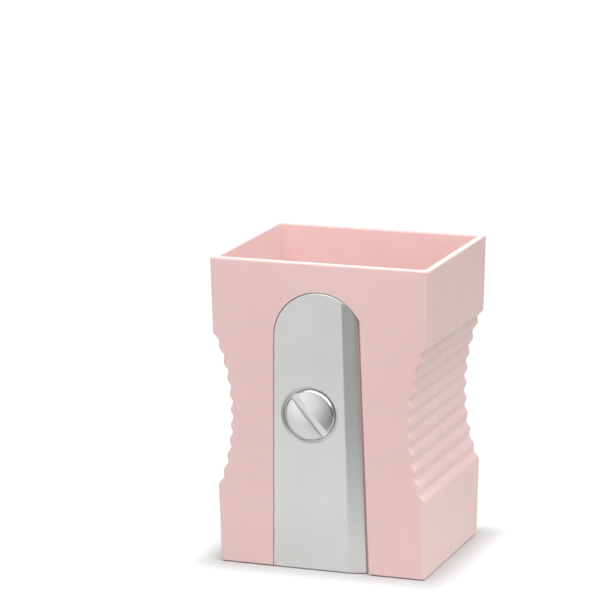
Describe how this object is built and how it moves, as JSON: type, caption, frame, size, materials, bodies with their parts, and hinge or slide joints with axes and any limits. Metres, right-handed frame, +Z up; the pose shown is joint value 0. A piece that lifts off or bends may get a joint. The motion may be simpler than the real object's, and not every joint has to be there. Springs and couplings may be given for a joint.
{
  "type": "pencil cup",
  "caption": "Open square cup for pencils, shaped like a large wedge sharpener: ribbed waist, leaning walls, bevelled arched plate with a slotted screw.",
  "frame": {"origin": "centre of the overall box, on the surface that the four feet stand on", "axes": "+Z up to the open mouth, -Y out of the front with the plate and screw, +X to the right seen from the front"},
  "size_m": [0.075, 0.0626, 0.1034],
  "materials": {
    "pink_plastic": "soft satin moulded pale pink",
    "satin_plate": "satin silver grey",
    "bright_screw": "polished nickel",
    "nut_steel": "plain zinc plated",
    "foot_rubber": "matte translucent white"
  },
  "bodies": {
    "cup": {"front_shell": "pink_plastic", "rear_shell": "pink_plastic", "floor_plate": "pink_plastic", "blade_plate": "satin_plate", "foot_front_left": "foot_rubber", "foot_front_right": "foot_rubber", "foot_rear_left": "foot_rubber", "foot_rear_right": "foot_rubber"},
    "screw": {"slotted_screw": "bright_screw", "push_nut": "nut_steel"}
  },
  "joints": [
    {"name": "screw_turn", "type": "hinge", "parent": "cup", "child": "screw", "pos_m": [-0.0035, -0.03027, 0.05274], "axis": [0, -0.9998, -0.0203], "continuous": true}
  ]
}
